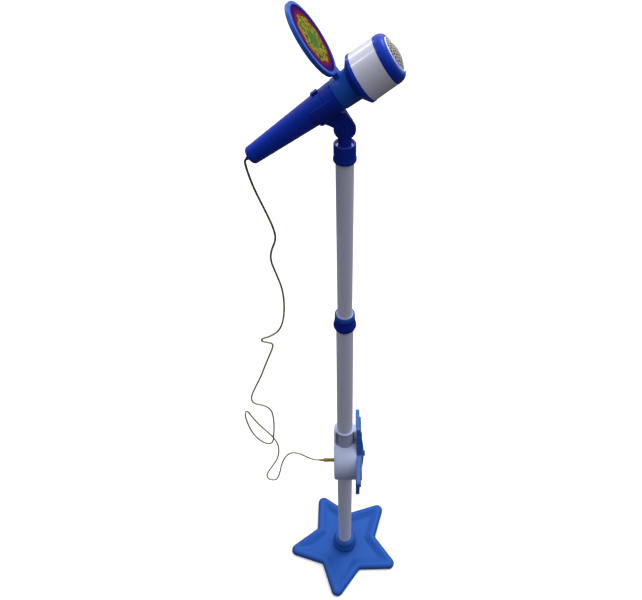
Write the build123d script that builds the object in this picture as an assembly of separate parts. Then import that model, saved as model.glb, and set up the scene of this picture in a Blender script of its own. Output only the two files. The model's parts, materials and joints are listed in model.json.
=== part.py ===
from build123d import *
import math
import os

# Toy microphone on a telescopic stand. Millimetres. The origin is the centre of the base's underside,
# on the stand's axis, +Z up. The singer stands at -Y: the control panel and the microphone's head face -Y.

# ---- driving dimensions: stand ----
foot_z = 1.8
foot_r = 6.0
skirt_z = 0.8
star_ratio = 0.519
base_tip_r = 130.0
base_tip_round = 12.0
base_valley_round = 6.0
base_turn = 27.44
base_top_z = 11.5
base_edge_round = 7.5
panel_z = 6.0
base_wall = 1.6
rim_width = 9.5
rim_slope = 13.5
rim_wall = 2.4
cover_top_z = 2.4
foot_ring_r = 98.0
screw_ring_r = 68.0
weight_r = 57.0
socket_top_z = 37.0
socket_r = 24.5
socket_neck_r = 19.0

lower_tube_r = 13.35
lower_tube_bottom = 12.0
lower_tube_top = 353.0
tube_wall = 1.6

box_z = 384.7
box_r = 45.1
box_wall = 2.2
box_back_y = 17.9
box_front_y = -16.0
cover_front_y = -19.0
neck_r = 14.9
shroud_r = 17.6
neck_top_z = 464.5
neck_seat_z = 424.0
rib_count = 11
rib_pitch = 2.7
jack_z = 361.0
door_half_w = 27.75
door_bottom_z = 373.25
door_top_z = 418.75

middle_tube_r = 12.5
middle_tube_top_r = 11.4
middle_bore_r = 9.75
middle_tube_top = 726.0
taper_start_z = 476.0
collar_z = (705.5, 733.0)
bush_top_z = 733.5

upper_tube_r = 9.55
upper_tube_bottom = 645.0
upper_tube_top = 970.5
top_collar_z = (954.9, 974.0)
upper_wall = 2.5
seat_z = (934.0, 940.0)
running_gap = 0.05

# ---- driving dimensions: control panel ----
panel_tip_r = 83.2
panel_tip_round = 5.0
panel_valley_round = 3.0
panel_base_y = -25.8
panel_top_y = -28.4
panel_step = 7.0
dome_r = 29.0
dome_y = -32.6
dome_wall = 1.8
button_r = 5.0
button_y = -34.6
battery_r = 7.1
battery_length = 50.5
battery_y = 8.3
battery_zs = (381.5, 396.0, 410.5)

# ---- driving dimensions: clip and microphone ----
pivot = Vector(0, 0, 990.7)
handle_end = Vector(0, 94.3, 959.3)
mic_elevation = 35.87
stem_r = 6.75
tongue_half = 2.0
tongue_r = 8.6
knuckle_r = 10.9
far_knuckle_r = 9.0
clip_half = 4.8
bolt_r = 2.0
clip_span = (81.0, 105.0)
clip_wall = 2.3
clip_gap = 0.1
clip_arm_y = 6.0
handle_length = 109.0
handle_end_r = 9.15
handle_slope = 0.0488
handle_wall = 1.8
handle_screw_s = (28.0, 66.0)
spigot_r = 13.0
neck_ring_span = (109.4, 126.3)
head_r = 23.4
sleeve_span = (136.2, 160.8)
sleeve_bore_r = 21.3
front_ring_end = 170.3
front_bore_r = 16.6
grille_r = 15.3
grille_edge_s = 167.5
grille_apex_s = 173.4
disc_s = 119.0
disc_height = 52.3
disc_r = 33.8
disc_thickness = 4.0
sticker_r = 30.4
switch_s = 91.5
grommet_length = 4.7

# ---- driving dimensions: cord ----
cord_d = 2.5
plug_end_y = 44.6

parts = {}


def handle_r(s):
    """Outer radius of the tapered handle at s millimetres from its lower end."""
    return handle_end_r + handle_slope * s


mic_angle = math.radians(mic_elevation)
mic_axis = Vector(0, -math.cos(mic_angle), math.sin(mic_angle))
# local frame of the microphone: Z along its axis towards the head, Y up and back, X as the stand's
mic_place = Plane(origin=handle_end, x_dir=(1, 0, 0), z_dir=mic_axis)
pivot_local = mic_place.to_local_coords(pivot)


def rod(p, d, r, h):
    """Cylinder of radius r and height h that starts at p and runs along d."""
    return Solid.make_cylinder(r, h, Plane(origin=p, z_dir=d))


def pipe(z0, z1, outer, inner):
    return rod((0, 0, z0), (0, 0, 1), outer, z1 - z0) - rod((0, 0, z0), (0, 0, 1), inner, z1 - z0)


def block(x, y, z):
    """Box from three (low, high) pairs."""
    size = [b - a for a, b in (x, y, z)]
    middle = [(a + b) / 2 for a, b in (x, y, z)]
    return Pos(*middle) * Box(*size)


def turned(points):
    """Solid of revolution about Z from a closed outline of (radius, height) points."""
    outline = make_face(Polyline([(r, 0, z) for r, z in points], close=True))
    return revolve(outline, Axis.Z, 360)


def star_outline(tip_r, inset, tip_round, valley_round, turn):
    """Five-pointed star face, its straight edges moved inwards by inset."""
    half = math.atan2(star_ratio * math.sin(math.pi / 5), 1 - star_ratio * math.cos(math.pi / 5))
    r = tip_r - inset / math.sin(half)
    points = []
    for k in range(10):
        a = math.radians(turn + 36 * k)
        reach = r if k % 2 == 0 else r * star_ratio
        points.append((reach * math.cos(a), reach * math.sin(a)))
    face = make_face(Polyline(points, close=True))
    face = fillet([v for v in face.vertices() if Vector(v.X, v.Y).length > r * 0.8], tip_round)
    valleys = [v for v in face.vertices() if abs(Vector(v.X, v.Y).length - r * star_ratio) < 0.01]
    return fillet(valleys, valley_round)


def star_prism(z0, z1, inset, tip_round=base_tip_round, valley_round=base_valley_round):
    face = star_outline(base_tip_r, inset, tip_round, valley_round, base_turn)
    return Pos(0, 0, z0) * extrude(face, z1 - z0)


def star_funnel(low, high):
    """Sloping-sided star plug between two levels, each (height, inset, tip rounding)."""
    sections = [Pos(0, 0, z) * star_outline(base_tip_r, inset, tip_round, base_valley_round, base_turn)
                for z, inset, tip_round in (low, high)]
    return loft(sections, ruled=True)


def ring_places(count, r, turn):
    for k in range(count):
        a = math.radians(turn + 360 / count * k)
        yield Vector(r * math.cos(a), r * math.sin(a), 0)


# ---- base ----
def make_base():
    foot_places = list(ring_places(5, foot_ring_r, base_turn)) + [Vector(0, 0, 0)]
    screw_places = list(ring_places(5, screw_ring_r, base_turn))
    up = Vector(0, 0, 1)

    shell = star_prism(skirt_z, base_top_z, 0)
    shell = fillet(shell.faces().sort_by(Axis.Z)[-1].edges(), base_edge_round)
    depth = base_top_z - panel_z
    bank = [(panel_z + rise * depth, rim_width + run * rim_slope, 5.0 - 2.0 * run)
            for rise, run in ((0, 1), (0.15, 0.8), (0.85, 0.2), (1, 0))]
    for low, high in zip(bank, bank[1:]):
        shell -= star_funnel(low, high)
    rim_hollow = star_prism(skirt_z, base_top_z - 3.0, 3.4, 9.0)
    rim_hollow -= star_funnel((panel_z - base_wall, rim_width + rim_slope - rim_wall, 3.0),
                              (base_top_z - 1.0, rim_width - rim_wall, 5.0))
    shell -= rim_hollow
    for p in screw_places:
        shell += rod(p + up * cover_top_z, up, 3.4, panel_z - base_wall - cover_top_z + 0.2)
        shell -= rod(p, up, 1.2, 5.2)
    shell -= rod((0, 0, 0), up, 12.0, panel_z)
    parts["base_shell"] = shell

    cover = star_prism(skirt_z, cover_top_z, 3.6, 9.0)
    for p in screw_places:
        cover -= rod(p, up, 1.2, cover_top_z)
        cover -= rod(p, up, 2.4, 1.6)
    for p in foot_places:
        cover -= rod(p, up, foot_r, foot_z)
    parts["base_cover"] = cover

    parts["rubber_feet"] = Compound(children=[rod(p, up, foot_r, foot_z) for p in foot_places])
    screws = [rod(p + up * 0.9, up, 2.4, 0.7) + rod(p + up * 1.6, up, 1.2, 3.5) for p in screw_places]
    parts["base_screws"] = Compound(children=screws)

    weight = rod((0, 0, cover_top_z), up, weight_r, panel_z - base_wall - cover_top_z)
    parts["base_weight"] = weight - rod((0, 0, 0), up, 8.0, panel_z)

    ceiling_z = panel_z - base_wall
    socket = turned([(0, ceiling_z), (12.0, ceiling_z), (12.0, panel_z), (socket_r, panel_z),
                     (socket_r, 21.0),
                     (22.6, 23.0), (22.6, 27.5), (21.6, 33.5), (socket_neck_r, socket_top_z),
                     (0, socket_top_z)])
    socket -= rod((0, 0, lower_tube_bottom), up, lower_tube_r, 40)
    parts["base_socket"] = socket


# ---- tubes and collars ----
def make_tubes():
    parts["lower_tube"] = pipe(lower_tube_bottom, lower_tube_top, lower_tube_r, lower_tube_r - tube_wall)
    middle = turned([(middle_bore_r, neck_seat_z), (middle_tube_r, neck_seat_z),
                     (middle_tube_r, taper_start_z), (middle_tube_top_r, collar_z[0]),
                     (middle_tube_top_r, middle_tube_top), (middle_bore_r, middle_tube_top)])
    parts["middle_tube"] = middle
    parts["upper_tube"] = pipe(upper_tube_bottom, upper_tube_top, upper_tube_r, upper_tube_r - upper_wall)
    stop = rod((0, 0, upper_tube_bottom - 5), (0, 0, 1), middle_bore_r - running_gap, 5)
    stop += rod((0, 0, upper_tube_bottom), (0, 0, 1), upper_tube_r - upper_wall, 10)
    parts["tube_stop"] = stop - rod((0, 0, upper_tube_bottom - 5), (0, 0, 1), 5.0, 15)
    parts["stem_seat"] = pipe(seat_z[0], seat_z[1], upper_tube_r - upper_wall, 4.5)

    bush_r = upper_tube_r + running_gap
    parts["collar_bush"] = turned([(bush_r, middle_tube_top), (11.0, middle_tube_top),
                                   (11.0, bush_top_z - 0.5), (10.6, bush_top_z),
                                   (bush_r + 0.4, bush_top_z), (bush_r, bush_top_z - 0.4)])
    low, high = collar_z
    bore = middle_tube_top_r + 0.1
    grip = turned([(bore, low), (12.1, low), (13.7, low + 2.2), (15.0, low + 5.6), (15.0, low + 7.8),
                   (14.3, low + 11.0), (13.4, low + 15.1), (13.0, high - 0.8), (12.4, high),
                   (bore, high)])
    for p in ring_places(12, 15.2, 15):
        grip -= rod(p + Vector(0, 0, low + 3.0), (0, 0, 1), 0.7, 9.0)
    parts["locking_collar"] = grip

    low, high = top_collar_z
    parts["top_collar"] = turned([(upper_tube_r, low), (11.6, low), (12.0, low + 0.8), (12.0, low + 3.2),
                                  (11.4, low + 4.4), (11.4, high - 0.8), (10.9, high),
                                  (upper_tube_r + 0.2, high), (upper_tube_r, high - 0.6)])


# ---- control box ----
def make_box():
    back = Vector(0, 1, 0)
    middle = Vector(0, 0, box_z)
    depth = box_back_y - box_front_y
    shell = rod(middle + Vector(0, box_front_y, 0), back, box_r, depth)
    shell = fillet(shell.edges().filter_by(GeomType.CIRCLE).sort_by(Axis.Y)[-1], 4.0)
    neck = [(0, neck_seat_z - 3), (neck_r, neck_seat_z - 3)]
    for k in range(rib_count):
        z = neck_top_z - 4.6 - rib_pitch * (rib_count - k)
        neck += [(neck_r, z), (neck_r + 0.45, z + 0.5), (neck_r + 0.45, z + 1.4), (neck_r, z + 1.9)]
    neck += [(neck_r, neck_top_z - 4), (neck_r + 0.9, neck_top_z - 3.4), (neck_r + 0.9, neck_top_z - 0.6),
             (neck_r + 0.4, neck_top_z), (0, neck_top_z)]
    shell += turned(neck)
    shell -= rod(middle + Vector(0, box_front_y, 0), back, box_r - box_wall, depth - box_wall)
    shroud = pipe(box_z + box_r - 5, neck_top_z - 0.8, shroud_r, neck_r + 0.3)
    shell += shroud - block((-30, 30), (-15.0, 13.8), (380, 480))
    neck_tail = pipe(neck_seat_z - 3, box_z + box_r - 1, neck_r, 9.0)
    sleeve = rod((0, 0, box_z - box_r + 2), (0, 0, 1), lower_tube_r + 2.2, lower_tube_top - box_z + box_r)
    keep = rod(middle + Vector(0, box_front_y, 0), back, box_r - 0.5, depth - 1)
    shell += (sleeve & keep) + neck_tail
    shell -= rod((0, 0, neck_seat_z), (0, 0, 1), middle_tube_r, 60)
    shell -= rod((0, 0, 300), (0, 0, 1), lower_tube_r, lower_tube_top - 300)
    opening = Pos(0, 0, (door_bottom_z + door_top_z) / 2)
    door_h = door_top_z - door_bottom_z
    recess = opening * Plane.XZ.location * RectangleRounded(2 * door_half_w + 0.5, door_h + 0.5, 10)
    hole = opening * Plane.XZ.location * RectangleRounded(2 * door_half_w - 3.5, door_h - 3.5, 8)
    shell -= Pos(0, box_back_y, 0) * extrude(recess, 1.2)
    shell -= Pos(0, box_back_y, 0) * extrude(hole, 4.0)
    screw_places = [Vector(x, 0, box_z + z) for x in (-33.5, 33.5) for z in (-14, 14)]
    for p in screw_places:
        shell += rod(p + Vector(0, -13, 0), back, 3.2, box_back_y - 1 + 13)
        shell -= rod(p + Vector(0, -13, 0), back, 1.3, 40)
        shell -= rod(p + Vector(0, box_back_y - 2.4, 0), back, 2.7, 5)
    shell -= rod((0, 0, jack_z) + Vector(0, 10, 0), back, 3.2, 20)
    shell -= block((19.9, 28.1), (10, 20), (359.4, 362.6))
    parts["box_shell"] = shell

    cover = rod(middle + Vector(0, cover_front_y, 0), back, box_r, box_front_y - cover_front_y)
    cover += rod(middle + Vector(0, box_front_y, 0), back, box_r - box_wall - 0.1, 2.8)
    cover -= rod(middle + Vector(0, box_front_y, 0), back, box_r - box_wall - 2.0, 2.8)
    cover -= rod(middle + Vector(0, -30, 0), back, 24.0, 30)
    lip_clear = rod((0, 0, box_z - box_r), (0, 0, 1), lower_tube_r + 2.4, 12.5)
    cover -= lip_clear + rod((0, 0, neck_seat_z - 4), (0, 0, 1), shroud_r + 0.1, 20)
    for p in screw_places:
        cover -= rod(p + Vector(0, -18, 0), back, 1.3, 5)
    parts["box_cover"] = cover

    screws = []
    for p in screw_places:
        body = rod(p + Vector(0, -17, 0), back, 1.3, box_back_y - 2.4 + 17)
        screws.append(body + rod(p + Vector(0, box_back_y - 2.4, 0), back, 2.7, 1.6))
    parts["box_screws"] = Compound(children=screws)

    door = opening * Plane.XZ.location * RectangleRounded(2 * door_half_w, door_h, 9.8)
    tongue = opening * Plane.XZ.location * RectangleRounded(2 * door_half_w - 4.1, door_h - 4.1, 7.7)
    lid = Pos(0, box_back_y, 0) * extrude(door, 1.2)
    lid += Pos(0, box_back_y - 1.2, 0) * extrude(tongue, 1.0)
    for k in range(5):
        lid -= block((-9, 9), (box_back_y - 0.4, box_back_y + 1), (408 - 2.4 * k, 409.2 - 2.4 * k))
    parts["battery_door"] = lid


def make_electronics():
    back = Vector(0, 1, 0)
    middle = Vector(0, 0, box_z)
    cells, contacts = [], []
    for k, z in enumerate(battery_zs):
        side = 1 if k % 2 else -1
        cell = rod((-battery_length / 2 + 0.6, battery_y, z), (1, 0, 0), battery_r, battery_length - 1.2)
        nub = rod((side * (battery_length / 2 - 0.6), battery_y, z), (side, 0, 0), 2.6, 0.6)
        cells.append(cell + nub)
        for end in (-1, 1):
            low, high = sorted((end * battery_length / 2, end * (battery_length / 2 + 0.5)))
            contacts.append(block((low, high), (battery_y - 5, battery_y + 5), (z - 5, z + 5)))
    parts["batteries"] = Compound(children=cells)
    parts["battery_contacts"] = Compound(children=contacts)
    wall = battery_length / 2 + 0.5
    tray = block((-wall - 1.6, wall + 1.6), (-0.6, 1.0), (door_bottom_z + 0.5, door_top_z - 2.0))
    for end in (-1, 1):
        low, high = sorted((end * wall, end * (wall + 1.6)))
        tray += block((low, high), (1.0, 14.0), (battery_zs[0] - 6, battery_zs[2] + 6))
    parts["battery_tray"] = tray

    basket = turned([(19.5, 0), (27.0, 0), (27.0, 1.5), (24.0, 1.5), (13.0, 9.0), (12.0, 9.0),
                     (12.0, 7.6), (22.0, 1.5), (19.5, 1.5)])
    place = Pos(0, box_front_y, box_z) * Rot(X=-90)
    parts["speaker_frame"] = place * basket
    cone = turned([(0, 5.0), (5.0, 5.0), (18.6, 0.6), (19.5, 0.6),
                   (19.5, 1.3), (18.8, 1.3), (5.4, 5.8), (0, 5.8)])
    parts["speaker_cone"] = place * cone
    parts["speaker_magnet"] = place * turned([(0, 9.0), (12.5, 9.0), (12.5, 14.5), (0, 14.5)])

    main = block((-24, 24), (-0.8, 0.8), (357, 371.5))
    main += block((-20, -12), (-3.0, -0.8), (361, 367)) + block((2, 7), (-2.4, -0.8), (358.5, 361.5))
    small = rod(middle + Vector(0, -24.2, 0), back, 8.9, 1.4)
    small += block((-3, 3), (-27.2, -24.2), (box_z - 3, box_z + 3))
    parts["circuit_boards"] = Compound(children=[main, small])
    jack = block((-5, 5), (0.8, box_back_y - box_wall), (jack_z - 4.5, jack_z + 5))
    jack += rod((0, box_back_y - box_wall, jack_z), back, 3.2, box_wall)
    jack += rod((0, box_back_y, jack_z), back, 4.2, 0.6)
    parts["jack_socket"] = jack - rod((0, 2.5, jack_z), back, 1.75, 20)
    parts["power_switch_block"] = block((18.5, 29.5), (9.5, 15.0), (358, 364))
    knob = block((20.2, 24.2), (15.1, box_back_y + 1.6), (359.6, 362.4))
    for k in range(3):
        knob -= block((21.0 + k, 21.4 + k), (box_back_y + 1.1, 25), (359, 363))
    parts["power_switch_knob"] = knob


def make_panel():
    back = Vector(0, 1, 0)
    middle = Vector(0, 0, box_z)
    outline = star_outline(panel_tip_r, 0, panel_tip_round, panel_valley_round, 90)
    raised = star_outline(panel_tip_r, panel_step, 3.5, panel_valley_round, 90)
    place = Pos(0, 0, box_z) * Plane.XZ.location
    panel = Pos(0, cover_front_y, 0) * place * extrude(outline, cover_front_y - panel_base_y)
    panel = fillet(panel.faces().sort_by(Axis.Y)[0].edges(), 1.6)
    top = Pos(0, panel_base_y, 0) * place * extrude(raised, panel_base_y - panel_top_y)
    panel += fillet(top.faces().sort_by(Axis.Y)[0].edges(), 1.4)
    panel -= rod(middle + Vector(0, -40, 0), back, 25.0, 30)
    parts["star_panel"] = panel

    rise = panel_top_y - dome_y
    ball_r = (dome_r ** 2 + rise ** 2) / (2 * rise)
    ball = Pos(0, dome_y + ball_r, box_z) * Sphere(ball_r)
    inner = Pos(0, dome_y + ball_r, box_z) * Sphere(ball_r - dome_wall)
    dome = ball & rod(middle + Vector(0, -45, 0), back, dome_r, 45 + panel_top_y)
    dome += rod(middle + Vector(0, panel_top_y, 0), back, 25.0, 4.0)
    dome -= inner & rod(middle + Vector(0, -45, 0), back, 23.0, 45 + panel_top_y)
    dome -= rod(middle + Vector(0, panel_top_y, 0), back, 23.0, 10)
    core = rod(middle + Vector(0, dome_y + 1, 0), back, 9.0, -24.2 - dome_y - 1)
    dome += core - rod(middle + Vector(0, -40, 0), back, 7.0, 40)
    for k in range(18):
        slot = Pos(17.0, 0, 0) * SlotOverall(11.0, 2.0)
        blade = Pos(0, -50, box_z) * Plane.XZ.location * Rot(Z=20 * k) * extrude(slot, -40)
        dome -= blade - rod(middle + Vector(0, -60, 0), back, 9.4, 60)
    dome -= rod(middle + Vector(0, -45, 0), back, button_r + 0.1, 20)
    parts["speaker_grille"] = dome
    button = rod(middle + Vector(0, button_y, 0), back, button_r, -29.4 - button_y)
    button = fillet(button.edges().sort_by(Axis.Y)[0], 1.2)
    button += rod(middle + Vector(0, -30.2, 0), back, 6.6, 0.8)
    parts["panel_button"] = button


def make_plug():
    back = Vector(0, 1, 0)
    start = Vector(0, box_back_y + 0.6, jack_z)
    pin = rod((0, 4.0, jack_z), back, 1.75 - running_gap, start.Y - 4.0)
    pin -= rod((0, 7.0, jack_z), back, 3, 0.6) - rod((0, 7.0, jack_z), back, 1.45, 0.6)
    parts["plug_pin"] = pin
    outline = [(0, 0), (3.1, 0), (3.3, 0.5), (3.3, 6.0), (2.9, 6.6),
               (2.9, 8.0), (3.3, 8.6), (3.3, 17.0), (2.7, 18.2), (0, 18.2)]
    place = Pos(*start) * Rot(X=-90)
    parts["plug_body"] = place * turned(outline)
    tail = plug_end_y - start.Y
    parts["plug_relief"] = place * turned([(0, 18.2), (2.3, 18.2), (2.3, 20.0), (1.7, tail), (0, tail)])


# ---- swivel and clip ----
def make_clip():
    across = Vector(1, 0, 0)
    stem = rod((0, 0, seat_z[1]), (0, 0, 1), upper_tube_r - upper_wall - running_gap, 971 - seat_z[1])
    stem = chamfer(stem.edges().sort_by(Axis.Z)[0], 1.5)
    stem += rod((0, 0, 971), (0, 0, 1), stem_r, 8.4)
    stem += block((-tongue_half, tongue_half), (-stem_r, stem_r), (975, pivot.Z))
    stem += rod(pivot - across * tongue_half, across, tongue_r, 2 * tongue_half)
    parts["swivel_stem"] = stem - rod(pivot - across * 10, across, bolt_r + running_gap, 20)

    s0, s1 = clip_span
    cradle = turned([(handle_r(s0) + clip_gap, s0), (handle_r(s0) + clip_wall, s0),
                     (handle_r(s1) + clip_wall, s1), (handle_r(s1) + clip_gap, s1)])
    cradle -= block((-30, 30), (clip_arm_y, 40), (s0 - 5, s1 + 5))
    c = Vector(pivot_local.Y, pivot_local.Z)
    corner = Vector(-15.2, s1)
    to = corner - c
    shoulder = [(-13.4, s0 + 1.0), (-18.6, s0 + 4.2), (-23.6, s0 + 6.8), (c.X, s0 + 7.4)]
    arm = []
    for side, r in ((-clip_half, knuckle_r), (clip_half, far_knuckle_r)):
        a = math.atan2(to.Y, to.X) + math.acos(r / to.length)
        touch = c + Vector(math.cos(a), math.sin(a)) * r
        outline = [(0, y, s) for y, s in shoulder + [(touch.X, touch.Y), (corner.X, corner.Y)]]
        cheek = rod((0, c.X, c.Y), across * side, r, clip_half)
        arm.append(cheek + extrude(make_face(Polyline(outline, close=True)), side, dir=across))
    bore = turned([(0, s0 - 1), (handle_r(s0) + clip_gap, s0 - 1),
                   (handle_r(s1) + clip_gap, s1 + 1), (0, s1 + 1)])
    clip = cradle + (arm[0] + arm[1] - bore)
    clip -= rod((-tongue_half - 0.3, c.X, c.Y), across, tongue_r + 2.4, 2 * tongue_half + 0.6)
    clip -= rod((-20, c.X, c.Y), across, bolt_r, 40)
    parts["mic_clip"] = mic_place.location * clip
    bolt = rod(pivot - across * (clip_half + 2.2), across, 3.6, 2.2)
    bolt -= block((-12, -clip_half - 1.2), (-0.5, 0.5), (980, 1000))
    parts["pivot_bolt"] = bolt + rod(pivot - across * clip_half, across, bolt_r, 2 * clip_half + 3.4)
    hexagon = Plane(origin=pivot + across * clip_half, z_dir=across) * RegularPolygon(3.6, 6)
    parts["pivot_nut"] = extrude(hexagon, 2.6) - rod(pivot, across, bolt_r, 20)


# ---- microphone, built along its own axis ----
def make_handle():
    end_round = [(handle_end_r - 2.6, 0), (handle_end_r - 1.1, 0.45), (handle_end_r - 0.3, 1.4),
                 (handle_r(3.0), 3.0)]
    top = [(handle_r(96.2), 96.2), (handle_r(96.2) - 0.5, 96.6), (handle_r(97.2) - 0.5, 97.2),
           (handle_r(97.6), 97.6), (handle_r(107.6), 107.6), (handle_r(107.6) - 0.6, 108.1),
           (handle_r(107.6) - 0.6, handle_length)]
    inside = [(handle_r(handle_length) - handle_wall, handle_length), (handle_r(3.0) - handle_wall, 3.0),
              (2.2, 3.0)]
    body = turned([(2.2, 0)] + end_round + top + inside)
    slot = block((-1.7, 1.7), (8, 20), (switch_s - 1.3, switch_s + 4.4))
    up = Vector(0, 1, 0)
    screws = []
    for s in handle_screw_s:
        inner = handle_r(s) - handle_wall
        seat = Vector(0, -inner - 0.4, s)
        body += rod((0, -inner - 0.6, s), up, 2.8, 2 * inner + 1.2)
        body -= rod(seat, up, 1.1, inner + 4.4)
        body -= rod(seat, -up, 2.2, 4.6)
        screws.append(rod(seat, -up, 2.2, 1.0) + rod(seat, up, 1.1, inner + 3))
    upper = (body & block((-30, 30), (0, 40), (-1, 120))) - slot
    lower = body & block((-30, 30), (-40, 0), (-1, 120))
    return {"handle_upper_shell": upper, "handle_lower_shell": lower,
            "handle_screws": Compound(children=screws)}


def make_mic_trim():
    grommet = turned([(0, -grommet_length), (1.7, -grommet_length), (2.5, -1.6), (3.3, -0.6), (3.3, 0),
                      (2.2, 0), (2.2, 3.0), (3.4, 3.0), (3.4, 5.0), (0, 5.0)])
    top = handle_r(switch_s)
    knob = block((-2.6, 2.6), (top + 0.3, top + 2.0), (switch_s - 3.4, switch_s + 3.4))
    knob = fillet(knob.edges().filter_by(Axis.Z), 0.6)
    knob += block((-1.6, 1.6), (10.1, top + 0.3), (switch_s - 1.2, switch_s + 1.2))
    low, high = neck_ring_span
    ring = turned([(spigot_r + 0.08, low), (14.6, low), (14.9, low + 0.4), (15.35, high - 0.4),
                   (15.1, high), (spigot_r + 0.08, high)])
    half = disc_thickness / 2
    foot = block((-6, 6), (13.6, 20.4), (disc_s - half - 1.3, disc_s + half + 0.4))
    foot -= rod((0, 0, 100), (0, 0, 1), 14.0, 40)
    foot = fillet(foot.edges().filter_by(Axis.Y), 0.8)
    seat = rod((0, disc_height, disc_s - half), (0, 0, 1), disc_r, disc_thickness)
    disc = seat - rod((0, disc_height, disc_s + half - 0.7), (0, 0, 1), sticker_r + 0.1, 2)
    disc = fillet(disc.edges().filter_by(GeomType.CIRCLE).group_by(SortBy.RADIUS)[-1], 0.8)
    sticker = rod((0, disc_height, disc_s + half - 0.7), (0, 0, 1), sticker_r, 0.4)
    switch = block((-4, 4), (5.5, 10.0), (switch_s - 6, switch_s + 7))
    return {"cord_grommet": grommet, "mic_switch_knob": knob, "neck_ring": ring + foot - seat,
            "disc_plate": disc, "disc_sticker": sticker, "switch_block": switch}


def make_head():
    s0, s1 = sleeve_span
    rear = turned([(10.6, 98.0), (12.0, 98.0), (12.0, 109.0), (spigot_r, 109.0), (spigot_r, 126.6),
                   (15.6, 126.6), (17.5, 128.3), (20.5, 130.8), (22.9, 132.6), (head_r, 133.4),
                   (head_r, s0),
                   (21.6, s0), (21.6, 134.8), (19.6, 132.8), (14.6, 128.9), (10.6, 127.4)])
    sleeve = turned([(sleeve_bore_r, s0), (22.9, s0), (22.4, s1), (sleeve_bore_r, s1)])
    flare = front_ring_end - s1 - 1.5
    arc = [(17.2 + 5.3 * math.cos(a), s1 + 1.5 + flare * math.sin(a))
           for a in (math.radians(15 * k) for k in range(7))]
    plug_r = sleeve_bore_r - running_gap
    front = turned([(19.8, s1 - 3.5), (plug_r, s1 - 3.5), (plug_r, s1), (22.5, s1)] + arc
                   + [(front_bore_r, 169.8), (front_bore_r, 164.6), (19.8, 162.6)])
    bezel = turned([(14.2, 166.5), (front_bore_r, 166.5), (front_bore_r, 170.0), (16.2, 170.8),
                    (15.6, 170.8), (grille_r, 170.4), (grille_r, grille_edge_s), (14.2, grille_edge_s)])
    rise = grille_apex_s - grille_edge_s
    ball_r = (grille_r ** 2 + rise ** 2) / (2 * rise)
    dome = Pos(0, 0, grille_apex_s - ball_r) * (Sphere(ball_r) - Sphere(ball_r - 0.8))
    dome &= rod((0, 0, grille_edge_s), (0, 0, 1), grille_r, 20)
    for ring, count in enumerate((6, 12, 18, 24)):
        for p in ring_places(count, 3.4 * (ring + 1), 0):
            dome -= rod(p + Vector(0, 0, grille_edge_s - 2), (0, 0, 1), 1.1, 20)
    dome -= rod((0, 0, grille_edge_s), (0, 0, 1), 1.1, 20)
    holder = rod((0, 0, 146), (0, 0, 1), sleeve_bore_r - 0.1, 2) + rod((0, 0, 148), (0, 0, 1), 7.5, 6)
    holder -= rod((0, 0, 149.5), (0, 0, 1), 4.85, 10)
    capsule = rod((0, 0, 149.5), (0, 0, 1), 4.85, 6.5)
    foam = rod((0, 0, 157.0), (0, 0, 1), 15.2, 9.2)
    return {"head_rear_shell": rear, "head_sleeve": sleeve, "head_front_ring": front,
            "grille_ring": bezel, "grille": dome, "capsule_holder": holder, "mic_capsule": capsule,
            "windscreen_foam": foam}


# ---- cord: route from the handle's grommet to the plug ----
cord_route = [
    (0, 98.11, 956.54), (0, 100.35, 954.92), (0, 100.2, 949.5), (0, 98.6, 938.5), (0, 94.2, 919),
    (0, 86, 893.5), (0, 79, 869.5), (0, 77.6, 853.5), (0, 84.7, 837.5), (0, 87, 822.5),
    (0, 81.8, 800.5), (0, 76.5, 776), (0, 76.2, 748.5), (0, 79.2, 722), (0, 86.4, 699.5),
    (0, 99.8, 688), (0, 109.3, 684.5), (0, 113.1, 680.3), (1, 110.3, 676), (1, 103.5, 674.3),
    (1, 98.2, 672.2), (0, 98, 667), (0, 102.3, 654.5), (0, 111.2, 630.5), (-1, 121.4, 601),
    (-1, 133.8, 572), (-2, 142.2, 549.5), (-2, 139.4, 534.5), (-2, 125, 531), (-3, 114, 521.5),
    (-4, 111.8, 499.5), (-5, 113.6, 470), (-5, 116.5, 448), (-5, 117.6, 436.5), (-5, 120.6, 426),
    (-5, 128.5, 422.5), (-5, 137.5, 430), (-5, 147, 447.5), (-5, 152.8, 471), (-5, 155, 493),
    (-4.5, 155.6, 503.5), (-3.5, 155.2, 509), (1, 154.6, 509.8), (3.8, 153.4, 505.5), (5.8, 151.5, 498),
    (6.8, 148, 484), (7, 139, 461), (7, 127.5, 439.5), (6, 118.4, 422.5), (5, 113.3, 403),
    (4, 113.5, 383), (2, 118, 361.5), (0, 129, 338.5), (0, 139.5, 315.5), (0, 142.6, 300.5),
    (0, 138.6, 289.5), (0, 127.6, 287.5), (0, 121.5, 298.5), (0, 116.5, 320.5), (0, 112, 345),
    (0, 105, 369), (0, 93, 387), (0, 78.2, 383.5), (0, 64, 369), (0, 53, 361), (0, 44.6, 361)]
# the cord is cut in the middle of these runs, between pieces that follow different parts of the stand
cord_cuts = {"cord_at_mic": 8, "cord_at_clip": 12, "cord_at_swivel": 22,
             "cord_hanging": 61, "cord_at_plug": None}


def cord_corners(points):
    """Radius of the tangent arc at each inner point of the route."""
    radii = []
    for a, b, c in zip(points, points[1:], points[2:]):
        before, after = b - a, c - b
        turn = math.radians(before.get_angle(after))
        radii.append(0.45 * min(before.length, after.length) / math.tan(turn / 2))
    return radii


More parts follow.
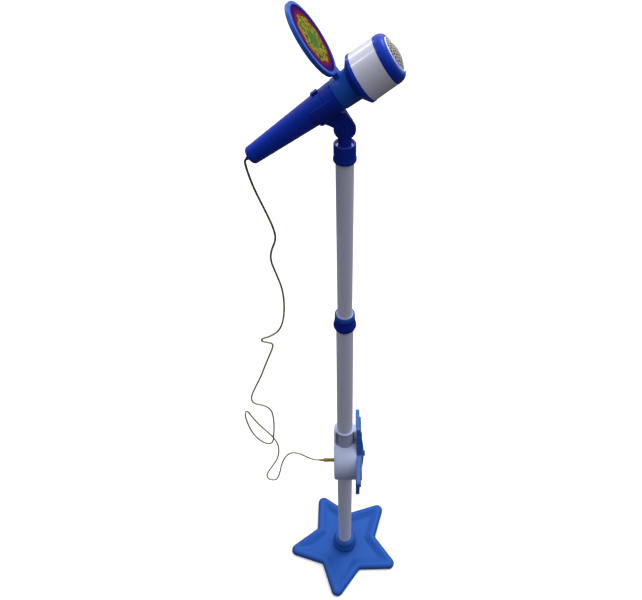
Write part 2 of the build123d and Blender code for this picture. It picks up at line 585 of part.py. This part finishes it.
def make_cord():
    points = [Vector(*p) for p in cord_route]
    radii = cord_corners(points)
    print("cord radii", [round(r, 1) for r in radii])
    first, total = 0, 0
    for name, last in cord_cuts.items():
        start = [(points[first] + points[first + 1]) / 2] if first else [points[0]]
        end = [points[-1]] if last is None else [(points[last] + points[last + 1]) / 2]
        last = len(points) - 2 if last is None else last
        path = FilletPolyline(start + points[first + 1:last + 1] + end, radius=radii[first:last])
        section = Plane(origin=path @ 0, z_dir=path % 0) * Circle(cord_d / 2)
        parts[name] = sweep(section, path=path)
        share = parts[name].volume / (math.pi * cord_d ** 2 / 4 * path.length)
        print(name, "length", round(path.length, 1), "volume / (section x length)", round(share, 4))
        total += path.length
        first = last
    print("cord length", round(total, 1))


make_base()
make_tubes()
make_box()
make_electronics()
make_panel()
make_plug()
make_clip()
for make in (make_handle, make_mic_trim, make_head):
    for name, piece in make().items():
        parts[name] = mic_place.location * piece
make_cord()

os.makedirs("parts", exist_ok=True)
for name, piece in parts.items():
    piece.label = name
    export_step(piece, f"parts/{name}.step")
print(len(parts), "nodes")
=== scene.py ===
"""Looks of the toy microphone on its telescopic stand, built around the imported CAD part."""

import json
import math

import bmesh
import bpy
from mathutils import Matrix, Vector


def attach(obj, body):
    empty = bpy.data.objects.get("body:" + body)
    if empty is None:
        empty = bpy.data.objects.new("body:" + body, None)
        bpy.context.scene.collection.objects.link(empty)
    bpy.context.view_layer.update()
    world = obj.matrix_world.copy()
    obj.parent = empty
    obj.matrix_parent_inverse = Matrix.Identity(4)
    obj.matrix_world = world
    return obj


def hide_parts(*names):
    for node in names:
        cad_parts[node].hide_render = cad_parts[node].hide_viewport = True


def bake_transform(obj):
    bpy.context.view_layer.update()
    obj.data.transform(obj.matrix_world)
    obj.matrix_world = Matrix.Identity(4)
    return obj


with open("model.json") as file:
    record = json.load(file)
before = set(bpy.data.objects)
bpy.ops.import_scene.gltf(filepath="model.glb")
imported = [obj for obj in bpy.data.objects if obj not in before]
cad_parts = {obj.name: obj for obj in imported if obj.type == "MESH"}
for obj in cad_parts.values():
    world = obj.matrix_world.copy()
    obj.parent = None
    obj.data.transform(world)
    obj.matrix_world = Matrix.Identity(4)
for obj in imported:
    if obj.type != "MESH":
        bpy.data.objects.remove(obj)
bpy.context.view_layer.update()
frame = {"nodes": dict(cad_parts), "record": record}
nodes = frame["nodes"]
scene = bpy.context.scene
MM = 0.001

# ---- camera: close to the microphone and high, looking down along the stand ----
LENS, SENSOR_WIDTH = 33.75, 36.0
LENS_SHIFT = (-0.0371, 0.0698)
EYE = (-0.5324, 0, 1.2923)
EYE_TURN = (40.58, 0, -90)
camera_data = bpy.data.cameras.new("camera")
camera_data.lens = LENS
camera_data.sensor_width = SENSOR_WIDTH
camera_data.shift_x, camera_data.shift_y = LENS_SHIFT
camera_data.clip_start = 0.01
camera = bpy.data.objects.new("camera", camera_data)
camera.location = EYE
camera.rotation_euler = [math.radians(angle) for angle in EYE_TURN]
scene.collection.objects.link(camera)
scene.camera = camera
scene.view_settings.view_transform = "Standard"


# ---- materials ----
def node(tree, kind, **values):
    """A shader node whose inputs and settings are given by name."""
    made = tree.nodes.new(kind)
    for name, value in values.items():
        if name in made.inputs:
            made.inputs[name].default_value = value
        else:
            setattr(made, name, value)
    return made


def shade(colour, factor):
    """The colour made lighter or darker, with full alpha."""
    return tuple(min(1.0, c * factor) for c in colour[:3]) + (1.0,)


def compare(tree, operation, value, limit):
    """1 where value is beyond the limit, else 0."""
    made = node(tree, "ShaderNodeMath", operation=operation)
    tree.links.new(value, made.inputs[0])
    made.inputs[1].default_value = limit
    return made.outputs["Value"]


def both(tree, a, b):
    """The product of two outputs."""
    made = node(tree, "ShaderNodeMath", operation="MULTIPLY")
    tree.links.new(a, made.inputs[0])
    tree.links.new(b, made.inputs[1])
    return made.outputs["Value"]


def fade(tree, value, low, high):
    """0 below low, 1 above high and smooth between."""
    made = node(tree, "ShaderNodeMapRange", interpolation_type="SMOOTHSTEP")
    made.inputs["From Min"].default_value = low
    made.inputs["From Max"].default_value = high
    tree.links.new(value, made.inputs["Value"])
    return made.outputs["Result"]


def mixed(tree, factor, a, b):
    """Colour mix; a and b are colours or outputs."""
    made = node(tree, "ShaderNodeMix", data_type="RGBA")
    tree.links.new(factor, made.inputs["Factor"])
    for name, colour in (("A", a), ("B", b)):
        if isinstance(colour, tuple):
            made.inputs[name].default_value = shade(colour, 1)
        else:
            tree.links.new(colour, made.inputs[name])
    return made.outputs["Result"]


def place_parts(tree):
    """The object-space position's x, y and z outputs."""
    place = node(tree, "ShaderNodeTexCoord")
    split = node(tree, "ShaderNodeSeparateXYZ")
    tree.links.new(place.outputs["Object"], split.inputs["Vector"])
    return split.outputs["X"], split.outputs["Y"], split.outputs["Z"]


def finish(name, colour, rough=0.35, vary=0.10, mottle=60.0, grain=2200.0, grain_depth=0.00002,
           coat=0.0, metallic=0.0, specular=0.3, stretch=(1, 1, 1), rough_vary=0.08,
           second=None, mask=None, sheen=None):
    """Moulded plastic, rubber or metal: mottled colour, uneven gloss and a fine surface grain.
    Where mask gives 1, the colour is second; sheen tints the highlights."""
    material = bpy.data.materials.new(name)
    material.use_nodes = True
    tree = material.node_tree
    shader = tree.nodes["Principled BSDF"]
    place = node(tree, "ShaderNodeTexCoord")
    stretcher = node(tree, "ShaderNodeMapping", Scale=stretch)
    tree.links.new(place.outputs["Object"], stretcher.inputs["Vector"])
    clouds = node(tree, "ShaderNodeTexNoise", Scale=mottle, Detail=4.0, Roughness=0.6)
    tree.links.new(stretcher.outputs["Vector"], clouds.inputs["Vector"])
    paint = mixed(tree, clouds.outputs["Fac"], shade(colour, 1 - vary), shade(colour, 1 + vary))
    if mask:
        other = mixed(tree, clouds.outputs["Fac"], shade(second, 1 - vary), shade(second, 1 + vary))
        paint = mixed(tree, mask(tree), paint, other)
    tree.links.new(paint, shader.inputs["Base Color"])
    gloss = node(tree, "ShaderNodeMapRange")
    gloss.inputs["To Min"].default_value = max(0.02, rough - rough_vary)
    gloss.inputs["To Max"].default_value = min(1.0, rough + rough_vary)
    tree.links.new(clouds.outputs["Fac"], gloss.inputs["Value"])
    tree.links.new(gloss.outputs["Result"], shader.inputs["Roughness"])
    pores = node(tree, "ShaderNodeTexNoise", Scale=grain, Detail=3.0)
    tree.links.new(stretcher.outputs["Vector"], pores.inputs["Vector"])
    bump = node(tree, "ShaderNodeBump", Strength=0.6, Distance=grain_depth)
    tree.links.new(pores.outputs["Fac"], bump.inputs["Height"])
    tree.links.new(bump.outputs["Normal"], shader.inputs["Normal"])
    shader.inputs["Metallic"].default_value = metallic
    shader.inputs["Specular IOR Level"].default_value = specular
    if sheen:
        shader.inputs["Specular Tint"].default_value = shade(sheen, 1)
    shader.inputs["Coat Weight"].default_value = coat
    shader.inputs["Coat Roughness"].default_value = 0.08
    return material


def round_axis(tree, reach_limit, low, high):
    """1 within a distance of the mast's axis and between two heights."""
    x, y, z = place_parts(tree)
    flat = node(tree, "ShaderNodeCombineXYZ")
    tree.links.new(x, flat.inputs["X"])
    tree.links.new(y, flat.inputs["Y"])
    reach = node(tree, "ShaderNodeVectorMath", operation="LENGTH")
    tree.links.new(flat.outputs["Vector"], reach.inputs[0])
    near = compare(tree, "LESS_THAN", reach.outputs["Value"], reach_limit)
    level = both(tree, compare(tree, "GREATER_THAN", z, low), compare(tree, "LESS_THAN", z, high))
    return both(tree, near, level)


# distance from the mast's axis, lowest and highest place of a second colour, in metres
NECK_BAND = (0.0162, 0.4226, 0.4643)
COLLAR_MOUTH = (0.0101, 0.9706, 0.9742)
# heights on the locking collar, and on the lead where painted shade darkens it, in metres
COLLAR_BEVEL = (0.7255, 0.7285)
COLLAR_LIP = 0.7085
LEAD_PAINTED_SHADE = (0.62, 0.92)


def neck_band(tree):
    """The ribbed band round the mast at the top of the control box."""
    return round_axis(tree, *NECK_BAND)


def collar_mouth(tree):
    """The inside of the top collar, above the tube's end."""
    return round_axis(tree, *COLLAR_MOUTH)


def collar_ends(tree):
    """The bevelled top and the lower lip of the locking collar."""
    z = place_parts(tree)[2]
    ends = node(tree, "ShaderNodeMath", operation="MAXIMUM")
    tree.links.new(fade(tree, z, *COLLAR_BEVEL), ends.inputs[0])
    tree.links.new(compare(tree, "LESS_THAN", z, COLLAR_LIP), ends.inputs[1])
    return ends.outputs["Value"]


def lead_painted_shade(tree):
    """The upper part of the lead, where painted shade darkens its colour."""
    return fade(tree, place_parts(tree)[2], *LEAD_PAINTED_SHADE)


BLUE_SHEEN = (0.25, 0.45, 1.0)
NAVY = (0.008, 0.025, 0.33)
NAVY_GLOSS = {"rough": 0.42, "specular": 0.05, "sheen": BLUE_SHEEN}
looks = {
    "base_blue": finish("base_blue", (0.015, 0.074, 0.34), rough=0.42, vary=0.08, sheen=BLUE_SHEEN),
    "panel_blue": finish("panel_blue", (0.012, 0.082, 0.35), rough=0.28, vary=0.08, specular=0.5),
    "deep_blue": finish("deep_blue", (0.006, 0.032, 0.44), rough=0.26, sheen=BLUE_SHEEN),
    "navy": finish("navy", NAVY, **NAVY_GLOSS),
    "light_blue": finish("light_blue", (0.012, 0.084, 0.50), rough=0.35, sheen=BLUE_SHEEN),
    "pale_box": finish("pale_box", (0.44, 0.50, 0.74), rough=0.40, vary=0.04,
                       second=(0.30, 0.32, 0.50), mask=neck_band),
    "tube_grey": finish("tube_grey", (0.58, 0.60, 0.79), rough=0.38, vary=0.05, stretch=(1, 1, 0.12)),
    "sleeve_silver": finish("sleeve_silver", (0.66, 0.68, 0.83), rough=0.24, vary=0.03, coat=0.1,
                            specular=0.4),
    "steel": finish("steel", (0.55, 0.56, 0.58), rough=0.30, metallic=1.0),
    "grille_metal": finish("grille_metal", (0.42, 0.40, 0.40), rough=0.40, metallic=0.3, specular=0.5),
    "bright_metal": finish("bright_metal", (0.93, 0.95, 0.98), rough=0.25, vary=0.02, specular=0.5),
    "brass": finish("brass", (0.80, 0.60, 0.22), rough=0.22, metallic=1.0),
    "plug_gold": finish("plug_gold", (0.27, 0.21, 0.02), rough=0.32),
    # painted shade: the lead's colour turns darker towards its upper part, near the handle
    "cord_gold": finish("cord_gold", (0.26, 0.23, 0.09), rough=0.40,
                        second=(0.075, 0.068, 0.030), mask=lead_painted_shade),
    "black_rubber": finish("black_rubber", (0.02, 0.02, 0.022), rough=0.75),
    "black_plastic": finish("black_plastic", (0.03, 0.03, 0.033), rough=0.45),
    "foam": finish("foam", (0.03, 0.03, 0.035), rough=0.9, grain=900.0, grain_depth=0.0004),
    "board_green": finish("board_green", (0.02, 0.20, 0.06), rough=0.35),
    "cell": finish("cell", (0.05, 0.05, 0.06), rough=0.30),
    "magnet": finish("magnet", (0.10, 0.10, 0.11), rough=0.55),
}
looks["sticker"] = looks["light_blue"]
# two navy pieces that carry a second colour
own_looks = {
    "top_collar": finish("top_collar_navy", NAVY, second=(0.20, 0.22, 0.50), mask=collar_mouth, **NAVY_GLOSS),
    "locking_collar": finish("collar_navy", (0.007, 0.019, 0.31), second=(0.020, 0.075, 0.40),
                             mask=collar_ends, **NAVY_GLOSS),
}

slots = {part["node"]: part["material_slot"] for part in frame["record"]["subparts"]}
for name, cad in nodes.items():
    cad.data.materials.clear()
    cad.data.materials.append(own_looks.get(name, looks[slots[name]]))

# ---- lead: control points from the handle's grommet to the plug, in millimetres ----
ROUTE = [
    (0, 98.11, 956.54), (0, 100.35, 954.92), (0, 100.2, 949.5), (0, 98.6, 938.5), (0, 94.2, 919),
    (0, 86, 893.5), (0, 79, 869.5), (0, 77.6, 853.5), (0, 84.7, 837.5), (0, 87, 822.5),
    (0, 81.8, 800.5), (0, 76.5, 776), (0, 76.2, 748.5), (0, 79.2, 722), (0, 86.4, 699.5),
    (0, 99.8, 688), (0, 109.3, 684.5), (0, 113.1, 680.3), (1, 110.3, 676), (1, 103.5, 674.3),
    (1, 98.2, 672.2), (0, 98, 667), (0, 102.3, 654.5), (0, 111.2, 630.5), (-1, 121.4, 601),
    (-1, 133.8, 572), (-2, 142.2, 549.5), (-2, 139.4, 534.5), (-2, 125, 531), (-3, 114, 521.5),
    (-4, 111.8, 499.5), (-5, 113.6, 470), (-5, 116.5, 448), (-5, 117.6, 436.5), (-5, 120.6, 426),
    (-5, 128.5, 422.5), (-5, 137.5, 430), (-5, 147, 447.5), (-5, 152.8, 471), (-5, 155, 493),
    (-4.5, 155.6, 503.5), (-3.5, 155.2, 509), (1, 154.6, 509.8), (3.8, 153.4, 505.5), (5.8, 151.5, 498),
    (6.8, 148, 484), (7, 139, 461), (7, 127.5, 439.5), (6, 118.4, 422.5), (5, 113.3, 403),
    (4, 113.5, 383), (2, 118, 361.5), (0, 129, 338.5), (0, 139.5, 315.5), (0, 142.6, 300.5),
    (0, 138.6, 289.5), (0, 127.6, 287.5), (0, 121.5, 298.5), (0, 116.5, 320.5), (0, 112, 345),
    (0, 105, 369), (0, 93, 387), (0, 78.2, 383.5), (0, 64, 369), (0, 53, 361), (0, 44.6, 361)]
ROUTE = [Vector(p) * MM for p in ROUTE]
CORD_RADIUS = 1.25 * MM
# node, run in whose middle its piece ends, the bodies it bends between, and the length of the piece
CORDS = [("cord_at_mic", 3, "clip", "microphone", 0.0300),
         ("cord_at_clip", 12, "swivel", "clip", 0.1980),
         ("cord_at_swivel", 22, "upper_mast", "swivel", 0.1174),
         ("cord_hanging", 61, "stand", "upper_mast", 0.6992),
         ("cord_at_plug", None, "stand", "jack_plug", 0.0493)]


def smooth_line(name, controls):
    """Points along one smooth spline through the route's control points."""
    curve = bpy.data.curves.new(name, "CURVE")
    curve.dimensions = "3D"
    curve.resolution_u = 8
    spline = curve.splines.new("NURBS")
    spline.points.add(len(controls) - 1)
    for point, place in zip(spline.points, controls):
        point.co = (*place, 1.0)
    spline.order_u = 3
    spline.use_endpoint_u = True
    holder = bpy.data.objects.new(name, curve)
    scene.collection.objects.link(holder)
    mesh = bpy.data.meshes.new_from_object(holder)
    places = [v.co.copy() for v in mesh.vertices]
    bpy.data.objects.remove(holder)
    bpy.data.meshes.remove(mesh)
    return places


def add_tube(mesh, places, radius, sides):
    """Adds a closed round tube along places to the mesh, its rings carried without twist."""
    rings = []
    across = None
    for i, here in enumerate(places):
        along = (places[min(i + 1, len(places) - 1)] - places[max(i - 1, 0)]).normalized()
        if across is None:
            across = along.orthogonal().normalized()
        across = (across - along * across.dot(along)).normalized()
        up = along.cross(across)
        rings.append([mesh.verts.new(here + radius * (across * math.cos(a) + up * math.sin(a)))
                      for a in (2 * math.pi * k / sides for k in range(sides))])
    for low, high in zip(rings, rings[1:]):
        for k in range(sides):
            mesh.faces.new((low[k], low[(k + 1) % sides], high[(k + 1) % sides], high[k]))
    mesh.faces.new(rings[0][::-1])
    mesh.faces.new(rings[-1])


def emit(name, mesh, slot=None):
    """Turns a bmesh into a smooth object of the scene, with a look from the table if a slot is named."""
    data = bpy.data.meshes.new(name)
    bmesh.ops.recalc_face_normals(mesh, faces=mesh.faces)
    mesh.to_mesh(data)
    mesh.free()
    data.shade_smooth()
    obj = bpy.data.objects.new(name, data)
    scene.collection.objects.link(obj)
    if slot:
        data.materials.append(looks[slot])
    return obj


first = 0
for name, last, low_body, high_body, length in CORDS:
    start = [ROUTE[0]] if first == 0 else [(ROUTE[first] + ROUTE[first + 1]) / 2]
    end = [ROUTE[-1]] if last is None else [(ROUTE[last] + ROUTE[last + 1]) / 2]
    last = len(ROUTE) - 2 if last is None else last
    controls = start + ROUTE[first + 1:last + 1] + end
    line = smooth_line(name, controls)
    tube = bmesh.new()
    add_tube(tube, line, CORD_RADIUS, sides=14)
    lead = emit(name.replace("cord", "lead"), tube, "cord_gold")
    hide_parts(name)
    if name == "cord_at_plug":
        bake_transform(lead)
    elif name == "cord_at_clip":
        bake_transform(lead)
    elif name == "cord_hanging":
        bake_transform(lead)
    else:
        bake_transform(lead)
    first = last

# ---- the microphone's own frame: X across, Y up and back, Z along its axis from the cord's end ----
ELEVATION = math.radians(35.87)
HANDLE_END = (0.0943, 0.9593)
mic = Matrix(((1, 0, 0, 0),
              (0, math.sin(ELEVATION), -math.cos(ELEVATION), HANDLE_END[0]),
              (0, math.cos(ELEVATION), math.sin(ELEVATION), HANDLE_END[1]),
              (0, 0, 0, 1)))

# ---- woven wire dome in the head's opening ----
DOME_EDGE = 0.0152
DOME_LOW = 0.1692
DOME_RISE = 0.0044
WIRE_PITCH = 0.0027
WIRE_RADIUS = 0.00048
WEAVE = 0.00042


def dome_height(x, y):
    """Height of the dome over its rim at a place across it."""
    ball = (DOME_EDGE ** 2 + DOME_RISE ** 2) / (2 * DOME_RISE)
    return DOME_RISE - ball + math.sqrt(max(0.0, ball ** 2 - x * x - y * y))


wires = bmesh.new()
count = int(DOME_EDGE / WIRE_PITCH)
turn = math.radians(45)
for family in (0, 1):
    for k in range(-count, count + 1):
        offset = k * WIRE_PITCH
        half = math.sqrt(DOME_EDGE ** 2 - offset ** 2)
        steps = max(2, int(2 * half / (WIRE_PITCH / 2)))
        places = []
        for i in range(steps + 1):
            run = -half + 2 * half * i / steps
            weave = WEAVE * math.cos(math.pi * (run / WIRE_PITCH + k + family))
            x, y = (run, offset) if family == 0 else (offset, run)
            z = DOME_LOW + dome_height(x, y) + weave
            places.append(mic @ Vector((x * math.cos(turn) - y * math.sin(turn),
                                        x * math.sin(turn) + y * math.cos(turn), z)))
        add_tube(wires, places, WIRE_RADIUS, sides=6)
mesh_dome = emit("mesh_dome", wires, "grille_metal")
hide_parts("grille")
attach(mesh_dome, "microphone")

# ---- printed face of the disc: generic rings and petals ----
face = bmesh.new()
layer = face.loops.layers.uv.new("face")
FACE_RADIUS = 0.0304
FACE_RISE = 0.00008
RINGS, SIDES = 12, 96
FACE_CENTRE = Vector((0, 0.0523, 0.12048))
loops_at = []
for j in range(1, RINGS + 1):
    r = FACE_RADIUS * j / RINGS
    rise = FACE_RISE if j < RINGS else 0.0
    loops_at.append([(r * math.cos(a), r * math.sin(a), rise)
                     for a in (2 * math.pi * k / SIDES for k in range(SIDES))])
rows = [[face.verts.new(mic @ (FACE_CENTRE + Vector(p))) for p in ring] for ring in loops_at]
hub = face.verts.new(mic @ (FACE_CENTRE + Vector((0, 0, FACE_RISE))))
flat_place = {v: p for row, ring in zip(rows, loops_at) for v, p in zip(row, ring)}
flat_place[hub] = (0.0, 0.0, 0.0)
for k in range(SIDES):
    face.faces.new((hub, rows[0][k], rows[0][(k + 1) % SIDES]))
for low, high in zip(rows, rows[1:]):
    for k in range(SIDES):
        face.faces.new((low[k], high[k], high[(k + 1) % SIDES], low[(k + 1) % SIDES]))
for f in face.faces:
    for loop in f.loops:
        p = flat_place[loop.vert]
        loop[layer].uv = (p[0] / FACE_RADIUS, p[1] / FACE_RADIUS)
disc_face = emit("disc_face", face)
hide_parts("disc_sticker")
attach(disc_face, "disc")


PETALS = 8.0
PETAL_DEPTH = 0.035


def printed_face():
    """Violet border, crimson ring with a ragged inner edge, and a yellow-green middle with green petals."""
    material = finish("printed_face", (0.10, 0.14, 0.62), rough=0.40, vary=0.0, specular=0.0)
    tree = material.node_tree
    shader = tree.nodes["Principled BSDF"]
    uv = node(tree, "ShaderNodeUVMap", uv_map="face")
    reach = node(tree, "ShaderNodeVectorMath", operation="LENGTH")
    tree.links.new(uv.outputs["UV"], reach.inputs[0])
    split = node(tree, "ShaderNodeSeparateXYZ")
    tree.links.new(uv.outputs["UV"], split.inputs["Vector"])
    angle = node(tree, "ShaderNodeMath", operation="ARCTAN2")
    tree.links.new(split.outputs["Y"], angle.inputs[0])
    tree.links.new(split.outputs["X"], angle.inputs[1])
    turns = node(tree, "ShaderNodeMath", operation="MULTIPLY")
    tree.links.new(angle.outputs["Value"], turns.inputs[0])
    turns.inputs[1].default_value = PETALS
    wave = node(tree, "ShaderNodeMath", operation="SINE")
    tree.links.new(turns.outputs["Value"], wave.inputs[0])
    ragged = node(tree, "ShaderNodeMath", operation="MULTIPLY_ADD")
    tree.links.new(wave.outputs["Value"], ragged.inputs[0])
    ragged.inputs[1].default_value = PETAL_DEPTH
    tree.links.new(reach.outputs["Value"], ragged.inputs[2])
    flecks = node(tree, "ShaderNodeTexNoise", Scale=7.0, Detail=3.0, Roughness=0.7)
    tree.links.new(uv.outputs["UV"], flecks.inputs["Vector"])
    leaves = mixed(tree, fade(tree, flecks.outputs["Fac"], 0.47, 0.58),
                   (0.27, 0.23, 0.035), (0.022, 0.060, 0.012))
    inner = mixed(tree, fade(tree, ragged.outputs["Value"], 0.24, 0.30), (0.055, 0.15, 0.035), leaves)
    ring = mixed(tree, fade(tree, ragged.outputs["Value"], 0.67, 0.72), inner, (0.16, 0.015, 0.03))
    ring = mixed(tree, fade(tree, reach.outputs["Value"], 0.78, 0.84), ring, (0.06, 0.008, 0.10))
    paint = mixed(tree, fade(tree, reach.outputs["Value"], 0.88, 0.94), ring, (0.02, 0.008, 0.14))
    tree.links.new(paint, shader.inputs["Base Color"])
    return material


disc_face.data.materials.append(printed_face())

# ---- floor and light ----
floor_mesh = bmesh.new()
bmesh.ops.create_grid(floor_mesh, x_segments=8, y_segments=8, size=6.0)
floor = emit("floor", floor_mesh)
floor.data.materials.append(finish("floor_look", (0.94, 0.94, 0.94), rough=0.8, vary=0.01, mottle=3.0,
                                   specular=0.1))
floor.visible_diffuse = False
floor.visible_glossy = False

# bright overhead and behind, dim below and on the camera's side
world = bpy.data.worlds.new("world")
world.use_nodes = True
sky = world.node_tree
direction = node(sky, "ShaderNodeTexCoord")
toward = node(sky, "ShaderNodeVectorMath", operation="DOT_PRODUCT")
sky.links.new(direction.outputs["Generated"], toward.inputs[0])
toward.inputs[1].default_value = (0.30, -0.18, 0.937)
level = node(sky, "ShaderNodeMapRange")
for end, value in (("From Min", -0.05), ("From Max", 0.9), ("To Min", 0.08), ("To Max", 1.40)):
    level.inputs[end].default_value = value
sky.links.new(toward.outputs["Value"], level.inputs["Value"])
sky.links.new(level.outputs["Result"], sky.nodes["Background"].inputs["Strength"])
sky.nodes["Background"].inputs["Color"].default_value = (1.0, 1.0, 1.0, 1.0)
scene.world = world


def lamp(name, place, target, size, power):
    """A rectangular area light turned towards a target."""
    data = bpy.data.lights.new(name, "AREA")
    data.shape = "RECTANGLE"
    data.size, data.size_y = size
    data.energy = power
    obj = bpy.data.objects.new(name, data)
    obj.location = place
    obj.rotation_euler = (Vector(target) - Vector(place)).to_track_quat("-Z", "Y").to_euler()
    scene.collection.objects.link(obj)


HEAD = Vector((0, -0.022, 1.045))
lamp("key", (2.2, -1.4, 5.0), (0, 0, 0.6), (2.0, 2.0), 120)
lamp("glint_behind", HEAD + 2.2 * Vector((0, 0.745, 0.666)), HEAD, (0.16, 0.16), 3.5)
lamp("glint_far", HEAD + 2.2 * Vector((0.70, 0.57, 0.42)), HEAD, (0.16, 0.16), 3.5)
